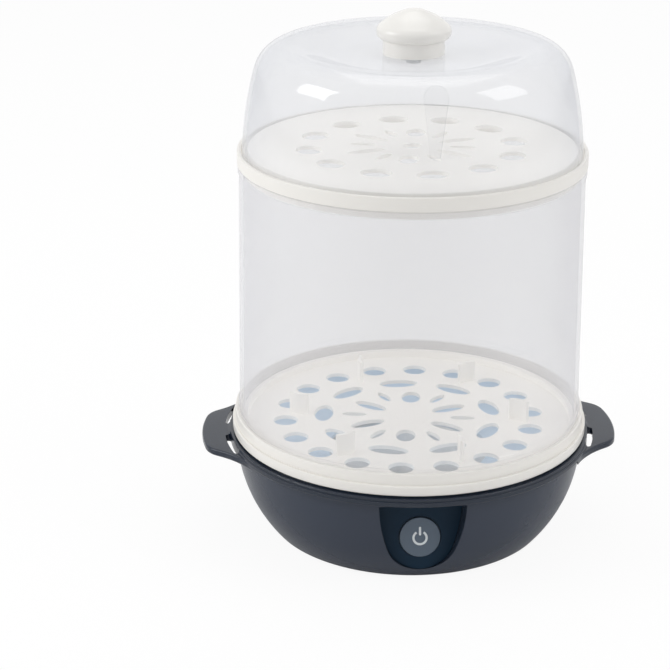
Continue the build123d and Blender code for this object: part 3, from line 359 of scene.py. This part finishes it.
def take_over(node, body, material):
    """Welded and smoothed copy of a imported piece, which stands for it and rides on its body."""
    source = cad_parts[node]
    piece = bpy.data.objects.new(node + "_shell", source.data.copy())
    bpy.context.scene.collection.objects.link(piece)
    alone(piece)
    bpy.ops.mesh.customdata_custom_splitnormals_clear()
    bpy.ops.object.mode_set(mode="EDIT")
    bpy.ops.mesh.select_all(action="SELECT")
    bpy.ops.mesh.remove_doubles(threshold=WELD)
    bpy.ops.object.mode_set(mode="OBJECT")
    bpy.ops.object.shade_smooth_by_angle(angle=SMOOTH_ANGLE)
    piece.data.materials.clear()
    piece.data.materials.append(material)
    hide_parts(node)
    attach(piece, body)
    return piece


def raise_mesh(piece, gap):
    """Moves a piece's whole mesh up, so that its foot isn't drawn in one plane with what it stands on."""
    alone(piece)
    bpy.ops.object.mode_set(mode="EDIT")
    bpy.ops.mesh.select_all(action="SELECT")
    bpy.ops.transform.translate(value=(0.0, 0.0, gap))
    bpy.ops.object.mode_set(mode="OBJECT")


def dress(nodes, material):
    """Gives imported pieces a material."""
    for node in nodes:
        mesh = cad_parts[node].data
        mesh.materials.clear()
        mesh.materials.append(material)


class STERILIZER_OT_base(bpy.types.Operator):
    """Adds the base bowl and the collar with its two handles"""

    bl_idname = "sterilizer.base"
    bl_label = "Base bowl and collar"

    def execute(self, context):
        colours = context.scene.sterilizer_colours
        finish = context.scene.sterilizer_finish
        shell = moulded("navy shell", colours.shell, finish.shell_roughness, specular=0.35)
        collar = moulded("navy collar", colours.collar, finish.shell_roughness * 0.9, specular=0.4)
        take_over("base_bowl", "base", shell)
        take_over("collar_ring", "base", collar)
        dress(["bottom_cover"], moulded("cover plastic", colours.shell, 0.55, depth=GRAIN_DEPTH * 2))
        return {"FINISHED"}


class STERILIZER_OT_controls(bpy.types.Operator):
    """Adds the switch panel, its button and the symbol let into it"""

    bl_idname = "sterilizer.controls"
    bl_label = "Switch panel and button"

    def execute(self, context):
        colours = context.scene.sterilizer_colours
        panel = moulded("panel gloss", colours.panel, 0.42, depth=GRAIN_DEPTH / 2, specular=0.15)
        take_over("control_fascia", "base", panel)
        take_over("power_button", "button", moulded("button plastic", colours.button, 0.42))
        take_over("power_symbol", "button", moulded("symbol ink", colours.symbol, 0.45))
        return {"FINISHED"}


class STERILIZER_OT_basin(bpy.types.Operator):
    """Finishes the water basin, the heating plate and what is clamped under it"""

    bl_idname = "sterilizer.basin"
    bl_label = "Basin and heater"

    def execute(self, context):
        colours = context.scene.sterilizer_colours
        # The basin gets a painted glow, which stands for light that reaches it through the trays and walls.
        take_over("water_basin", "base", moulded("basin plastic with painted glow", colours.basin, 0.38, glow=0.09))
        take_over("heating_plate", "base", spun_metal("spun steel", colours.steel, 0.22))
        dress(["plate_gasket", "return_dome"], moulded("silicone", (0.86, 0.86, 0.85), 0.6, mottling=0.03))
        plated = metal("plated steel", (0.75, 0.76, 0.77), 0.34)
        dress(
            [
                "clamp_ring",
                "clamp_screws",
                "sensor_bracket",
                "sensor_screws",
                "board_screws",
                "base_screws",
                "cord_clamp_screws",
                "knob_screw",
                "knob_washer",
            ],
            plated,
        )
        dress(["heat_spreader"], metal("cast aluminium", (0.80, 0.81, 0.82), 0.48, 500.0))
        dress(["heating_element"], metal("oxidised sheath", (0.46, 0.44, 0.42), 0.5, 700.0))
        dress(["thermostat", "thermal_cutout"], moulded("phenolic", (0.30, 0.20, 0.16), 0.5))
        return {"FINISHED"}


class STERILIZER_OT_electrics(bpy.types.Operator):
    """Finishes the board, the leads and the mains entry"""

    bl_idname = "sterilizer.electrics"
    bl_label = "Board, leads and mains entry"

    def execute(self, context):
        dress(["control_board"], board_finish("solder mask", (0.12, 0.42, 0.26)))
        dress(["push_switch"], moulded("switch black", (0.10, 0.10, 0.11), 0.4))
        dress(["indicator_lamp"], moulded("lamp lens", (0.90, 0.92, 0.94), 0.15))
        dress(["cord_gland", "cord_clamp"], moulded("fitting black", (0.13, 0.14, 0.16), 0.48))
        dress(["terminal_block"], moulded("terminal white", (0.86, 0.85, 0.80), 0.45))
        sleeve = moulded(
            "lead sleeve", (0.78, 0.77, 0.72), 0.8, grain=4000.0, depth=GRAIN_DEPTH * 5, mottling=0.1
        )
        dress(["heater_leads"], sleeve)
        dress(["board_leads"], moulded("lead red", (0.66, 0.12, 0.10), 0.4))
        rubber = moulded("foot rubber", (0.12, 0.125, 0.135), 0.75, grain=1800.0, depth=GRAIN_DEPTH * 2.5)
        dress(["rubber_feet"], rubber)
        return {"FINISHED"}


class STERILIZER_OT_trays(bpy.types.Operator):
    """Adds the bottle tray and the upper tray"""

    bl_idname = "sterilizer.trays"
    bl_label = "Trays"

    def execute(self, context):
        colours = context.scene.sterilizer_colours
        finish = context.scene.sterilizer_finish
        # Each tray with the reach and strength of its painted glow; the upper tray gets a smaller share of
        # it.
        trays = (
            ("bottle_tray", BOTTLE_TRAY_INSIDE, finish.tray_painted_glow),
            ("upper_tray", UPPER_TRAY_INSIDE, finish.tray_painted_glow * UPPER_TRAY_PAINTED_GLOW),
        )
        for node, reach, glow in trays:
            white = tray_finish(node + " white", colours.tray, finish.tray_roughness, reach, glow)
            take_over(node, node, white)
        return {"FINISHED"}


class STERILIZER_OT_cylinder(bpy.types.Operator):
    """Adds the milky steam cylinder"""

    bl_idname = "sterilizer.cylinder"
    bl_label = "Steam cylinder"

    def execute(self, context):
        colours = context.scene.sterilizer_colours
        finish = context.scene.sterilizer_finish
        frosted = milky("frosted wall", colours.frosted, finish.cylinder_haze, finish.rim_haze, 0.22)
        wall = take_over("steam_cylinder", "steam_cylinder", frosted)
        raise_mesh(wall, FOOT_GAP)
        return {"FINISHED"}


class STERILIZER_OT_lid(bpy.types.Operator):
    """Adds the clear lid with its knob, and the lift tab under it"""

    bl_idname = "sterilizer.lid"
    bl_label = "Lid, knob and lift tab"

    def execute(self, context):
        colours = context.scene.sterilizer_colours
        finish = context.scene.sterilizer_finish
        clear = milky("clear wall", colours.clear, finish.lid_haze, finish.rim_haze, 0.06)
        take_over("dome_lid", "lid", clear)
        take_over("lid_knob", "lid", moulded("knob white", colours.knob, 0.24, mottling=0.015))
        take_over("lift_tab", "upper_tray", milky("tab clear", colours.clear, 0.03, 0.6, 0.08))
        return {"FINISHED"}


class STERILIZER_OT_stage(bpy.types.Operator):
    """Adds the floor, the lights and the camera"""

    bl_idname = "sterilizer.stage"
    bl_label = "Floor, lights and camera"

    def floor(self, size):
        bpy.ops.mesh.primitive_plane_add(size=size, location=(0.0, 0.0, 0.0))
        floor = bpy.context.object
        floor.name = "pale_floor"
        shader = Shader("floor paper")
        shader.finish(Base_Color=(0.97, 0.97, 0.97, 1.0), Roughness=0.9, Specular_IOR_Level=0.1)
        paper = Socket(shader, shader.surface.outputs["BSDF"])
        white = shader.node("ShaderNodeEmission", sockets={"Color": WHITE})
        seen = shader.node("ShaderNodeLightPath", output="Is Camera Ray")
        mix = shader.node("ShaderNodeMixShader", sockets={0: seen * FLOOR_WHITENESS, 1: paper, 2: white})
        shader.put(shader.result, {"Surface": mix})
        floor.data.materials.append(shader.material)

    def lamp(self, name, power, size, place):
        bpy.ops.object.light_add(type="AREA", location=place)
        lamp = bpy.context.object
        lamp.name = name
        lamp.data.shape = "RECTANGLE"
        lamp.data.size, lamp.data.size_y = size
        lamp.data.energy = power
        aim = Vector(LIGHTS_AIM) - Vector(place)
        lamp.rotation_euler = aim.to_track_quat("-Z", "Y").to_euler()

    def sky(self, strength):
        world = bpy.data.worlds.new("studio sky")
        nodes = Nodes(world)
        camera = nodes.node("ShaderNodeLightPath", output="Is Camera Ray")
        glossy = nodes.node("ShaderNodeLightPath", output="Is Glossy Ray")
        seen = camera.maths("MAXIMUM", camera, glossy)
        soft = nodes.node("ShaderNodeBackground", sockets={"Color": WHITE, "Strength": strength})
        white = nodes.node("ShaderNodeBackground", sockets={"Color": WHITE})
        mix = nodes.node("ShaderNodeMixShader", sockets={0: seen, 1: soft, 2: white})
        result = nodes.tree.nodes.new("ShaderNodeOutputWorld")
        nodes.put(result, {"Surface": mix})
        bpy.context.scene.world = world

    def execute(self, context):
        stage = context.scene.sterilizer_stage
        self.floor(stage.floor_size)
        self.sky(stage.sky)
        self.lamp("key_light", stage.key_power, (1.0, 1.0), (-1.9, -0.25, 1.2))
        self.lamp("fill_light", stage.fill_power, (1.0, 1.2), (1.62, -0.62, 1.34))
        self.lamp("top_light", stage.top_power, (1.4, 1.4), (0.1, 0.5, 2.0))
        bpy.ops.object.camera_add(
            location=(stage.camera_x, stage.camera_y, stage.camera_z),
            rotation=(math.pi / 2 - stage.camera_tilt, 0.0, -stage.camera_heading),
        )
        camera = bpy.context.object
        camera.name = "photo_camera"
        camera.data.sensor_width = 36.0
        camera.data.lens = stage.lens
        camera.data.clip_start = 0.02
        context.scene.camera = camera
        context.scene.view_settings.view_transform = "Standard"
        return {"FINISHED"}


class STERILIZER_PT_tools(bpy.types.Panel):
    """Lists the sizes, colours and steps of the sterilizer"""

    bl_label = "Sterilizer"
    bl_idname = "STERILIZER_PT_tools"
    bl_space_type = "VIEW_3D"
    bl_region_type = "UI"
    bl_category = "Sterilizer"

    def draw(self, context):
        for group in (
            context.scene.sterilizer_colours,
            context.scene.sterilizer_finish,
            context.scene.sterilizer_stage,
        ):
            box = self.layout.box()
            for key in group.bl_rna.properties.keys():
                if key not in {"rna_type", "name"}:
                    box.prop(group, key)
        for operator in OPERATORS:
            self.layout.operator(operator.bl_idname)


OPERATORS = (
    STERILIZER_OT_base,
    STERILIZER_OT_controls,
    STERILIZER_OT_basin,
    STERILIZER_OT_electrics,
    STERILIZER_OT_trays,
    STERILIZER_OT_cylinder,
    STERILIZER_OT_lid,
    STERILIZER_OT_stage,
)
CLASSES = (SterilizerColours, SterilizerFinish, SterilizerStage, *OPERATORS, STERILIZER_PT_tools)


def register():
    for each in CLASSES:
        bpy.utils.register_class(each)
    bpy.types.Scene.sterilizer_colours = PointerProperty(type=SterilizerColours)
    bpy.types.Scene.sterilizer_finish = PointerProperty(type=SterilizerFinish)
    bpy.types.Scene.sterilizer_stage = PointerProperty(type=SterilizerStage)


def unregister():
    del bpy.types.Scene.sterilizer_stage
    del bpy.types.Scene.sterilizer_finish
    del bpy.types.Scene.sterilizer_colours
    for each in reversed(CLASSES):
        bpy.utils.unregister_class(each)


def main():
    register()
    bpy.ops.sterilizer.base()
    bpy.ops.sterilizer.controls()
    bpy.ops.sterilizer.basin()
    bpy.ops.sterilizer.electrics()
    bpy.ops.sterilizer.trays()
    bpy.ops.sterilizer.cylinder()
    bpy.ops.sterilizer.lid()
    bpy.ops.sterilizer.stage()


if __name__ == "__main__":
    main()
